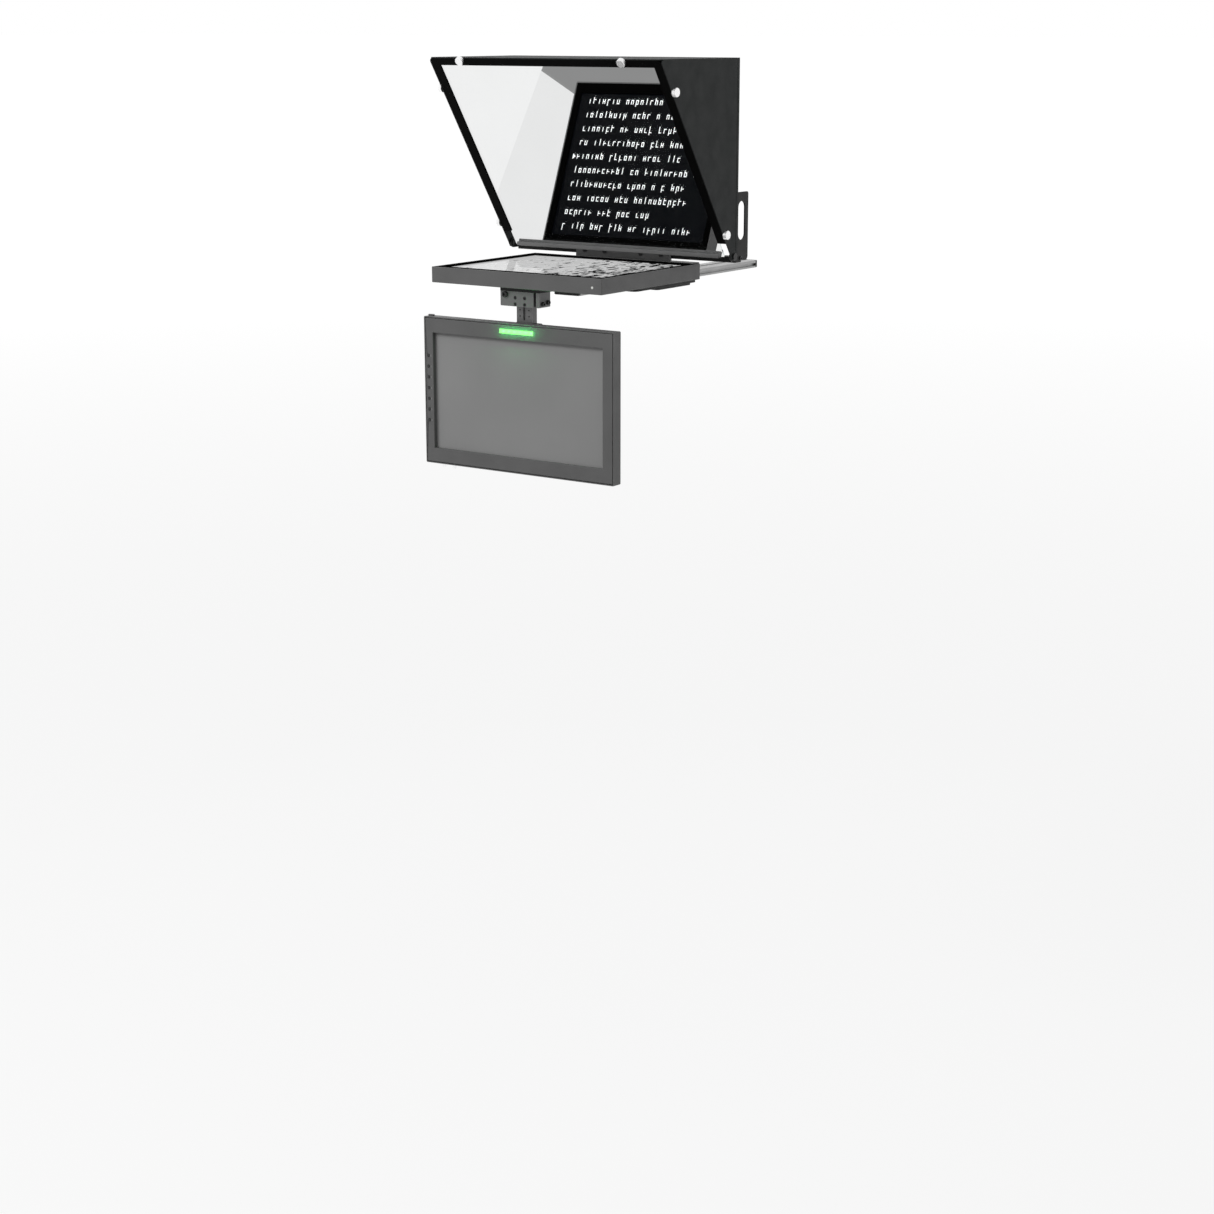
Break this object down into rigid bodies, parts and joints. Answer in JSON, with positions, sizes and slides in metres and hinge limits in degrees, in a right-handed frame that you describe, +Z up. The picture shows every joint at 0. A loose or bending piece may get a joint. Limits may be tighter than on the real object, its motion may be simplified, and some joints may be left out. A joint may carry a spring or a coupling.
{
  "type": "teleprompter",
  "caption": "Studio teleprompter head: tilting hood with beam splitter glass over a face-up prompter monitor, hanging talent monitor, and a camera rail.",
  "frame": {"origin": "mouth of the tripod thread, centre of the tripod plate's underside", "axes": "+Z up, -Y towards the talent, +X to the right of someone who faces the talent monitor's screen"},
  "size_m": [0.57, 0.8656, 0.8127],
  "materials": {
    "rail_aluminium": "satin anodised",
    "black_plastic": "fine texture",
    "black_anodised": "satin black",
    "grey_anodised": "satin dark grey",
    "black_steel": "black oxide",
    "silver_steel": "bright nickel",
    "case_grey": "satin dark grey powder coat",
    "screen_black": "matt black",
    "cover_glass": "polished",
    "prompter_screen": "screen face",
    "talent_screen": "anti-glare screen face",
    "backlight_white": "diffuser",
    "circuit_board": "solder mask",
    "lamp_lens": "frosted lens",
    "tally_green": "lit diffuser",
    "frame_black": "satin black",
    "gasket_rubber": "matt",
    "mirror_glass": "beam splitter coating",
    "hood_black": "matt black",
    "shroud_fabric": "woven black cloth"
  },
  "bodies": {
    "base": {"base_screws": "black_steel", "camera_rail": "rail_aluminium", "hanger_block": "grey_anodised", "hanger_screws": "black_steel", "hanger_tongue": "black_anodised", "hood_pivot_pins": "black_steel", "monitor_tray": "black_anodised", "prompter_backlight": "backlight_white", "prompter_bezel": "screen_black", "prompter_case": "case_grey", "prompter_connectors": "silver_steel", "prompter_cover_glass": "cover_glass", "prompter_lcd_panel": "prompter_screen", "prompter_main_board": "circuit_board", "prompter_power_lamp": "lamp_lens", "rail_end_caps": "black_plastic", "riser_bracket": "grey_anodised", "side_arm_left": "black_anodised", "side_arm_right": "black_anodised", "support_beam": "black_anodised", "tray_block": "black_anodised", "tray_screws": "black_steel", "tripod_plate": "black_anodised"},
    "hood": {"glass_frame": "frame_black", "glass_channel": "grey_anodised", "beam_splitter_glass": "mirror_glass", "glass_retainer": "gasket_rubber", "hood_top_panel": "hood_black", "hood_side_left": "hood_black", "hood_side_right": "hood_black", "hood_rear_panel": "hood_black", "lens_shroud": "shroud_fabric", "hood_thumb_screws": "silver_steel"},
    "camera_plate": {"camera_plate": "black_anodised"},
    "camera_plate_lock": {"camera_plate_lock_knob": "black_plastic"},
    "camera_screw": {"camera_screw": "silver_steel"},
    "column": {"talent_column": "grey_anodised"},
    "column_lock": {"column_lock_knob": "black_plastic"},
    "talent_monitor": {"tilt_bracket": "black_anodised", "tilt_bolt": "black_steel", "vesa_screws": "black_steel", "talent_bezel": "case_grey", "talent_case": "case_grey", "talent_lcd_panel": "talent_screen", "talent_backlight": "backlight_white", "talent_main_board": "circuit_board", "talent_keypad_board": "circuit_board", "talent_connectors": "silver_steel", "talent_tally_lens": "tally_green"},
    "tilt_lock": {"tilt_lock_knob": "black_plastic"},
    "talent_input_button": {"talent_input_button": "black_plastic"},
    "talent_menu_button": {"talent_menu_button": "black_plastic"},
    "talent_up_button": {"talent_up_button": "black_plastic"},
    "talent_down_button": {"talent_down_button": "black_plastic"},
    "talent_left_button": {"talent_left_button": "black_plastic"},
    "talent_right_button": {"talent_right_button": "black_plastic"},
    "talent_power_button": {"talent_power_button": "black_plastic"},
    "prompter_power_button": {"prompter_power_button": "black_plastic"},
    "prompter_menu_button": {"prompter_menu_button": "black_plastic"},
    "prompter_input_button": {"prompter_input_button": "black_plastic"}
  },
  "joints": [
    {"name": "hood_tilt", "type": "hinge", "parent": "base", "child": "hood", "pos_m": [0, -0.142, 0.089], "axis": [1, 0, 0], "range_deg": [-4, 50]},
    {"name": "camera_plate_slide", "type": "slide", "parent": "base", "child": "camera_plate", "axis": [0, 1, 0], "range_m": [-0.02, 0.2]},
    {"name": "camera_plate_lock_turn", "type": "hinge", "parent": "camera_plate", "child": "camera_plate_lock", "pos_m": [0.036, 0.03, 0.025], "axis": [1, 0, 0], "range_deg": [-180, 180]},
    {"name": "camera_screw_turn", "type": "hinge", "parent": "camera_plate", "child": "camera_screw", "pos_m": [0, 0.03, 0.044], "axis": [0, 0, 1], "continuous": true},
    {"name": "column_height", "type": "slide", "parent": "base", "child": "column", "axis": [0, 0, 1], "range_m": [-0.015, 0]},
    {"name": "column_lock_turn", "type": "hinge", "parent": "base", "child": "column_lock", "pos_m": [0, -0.452, 0.02], "axis": [0, 1, 0], "range_deg": [-180, 180]},
    {"name": "talent_tilt", "type": "hinge", "parent": "column", "child": "talent_monitor", "pos_m": [0, -0.4655, -0.038], "axis": [1, 0, 0], "range_deg": [-15, 20]},
    {"name": "tilt_lock_turn", "type": "hinge", "parent": "talent_monitor", "child": "tilt_lock", "pos_m": [0.03, -0.4655, -0.038], "axis": [1, 0, 0], "range_deg": [-180, 180]},
    {"name": "talent_input_press", "type": "slide", "parent": "talent_monitor", "child": "talent_input_button", "axis": [0, 1, 0], "range_m": [0, 0.0006], "stiffness_N_per_m": 900, "springref_m": -0.0004},
    {"name": "talent_menu_press", "type": "slide", "parent": "talent_monitor", "child": "talent_menu_button", "axis": [0, 1, 0], "range_m": [0, 0.0006], "stiffness_N_per_m": 900, "springref_m": -0.0004},
    {"name": "talent_up_press", "type": "slide", "parent": "talent_monitor", "child": "talent_up_button", "axis": [0, 1, 0], "range_m": [0, 0.0006], "stiffness_N_per_m": 900, "springref_m": -0.0004},
    {"name": "talent_down_press", "type": "slide", "parent": "talent_monitor", "child": "talent_down_button", "axis": [0, 1, 0], "range_m": [0, 0.0006], "stiffness_N_per_m": 900, "springref_m": -0.0004},
    {"name": "talent_left_press", "type": "slide", "parent": "talent_monitor", "child": "talent_left_button", "axis": [0, 1, 0], "range_m": [0, 0.0006], "stiffness_N_per_m": 900, "springref_m": -0.0004},
    {"name": "talent_right_press", "type": "slide", "parent": "talent_monitor", "child": "talent_right_button", "axis": [0, 1, 0], "range_m": [0, 0.0006], "stiffness_N_per_m": 900, "springref_m": -0.0004},
    {"name": "talent_power_press", "type": "slide", "parent": "talent_monitor", "child": "talent_power_button", "axis": [0, 1, 0], "range_m": [0, 0.0006], "stiffness_N_per_m": 900, "springref_m": -0.0004},
    {"name": "prompter_power_press", "type": "slide", "parent": "base", "child": "prompter_power_button", "axis": [1, 0, 0], "range_m": [0, 0.0006], "stiffness_N_per_m": 900, "springref_m": -0.0004},
    {"name": "prompter_menu_press", "type": "slide", "parent": "base", "child": "prompter_menu_button", "axis": [1, 0, 0], "range_m": [0, 0.0006], "stiffness_N_per_m": 900, "springref_m": -0.0004},
    {"name": "prompter_input_press", "type": "slide", "parent": "base", "child": "prompter_input_button", "axis": [1, 0, 0], "range_m": [0, 0.0006], "stiffness_N_per_m": 900, "springref_m": -0.0004}
  ]
}
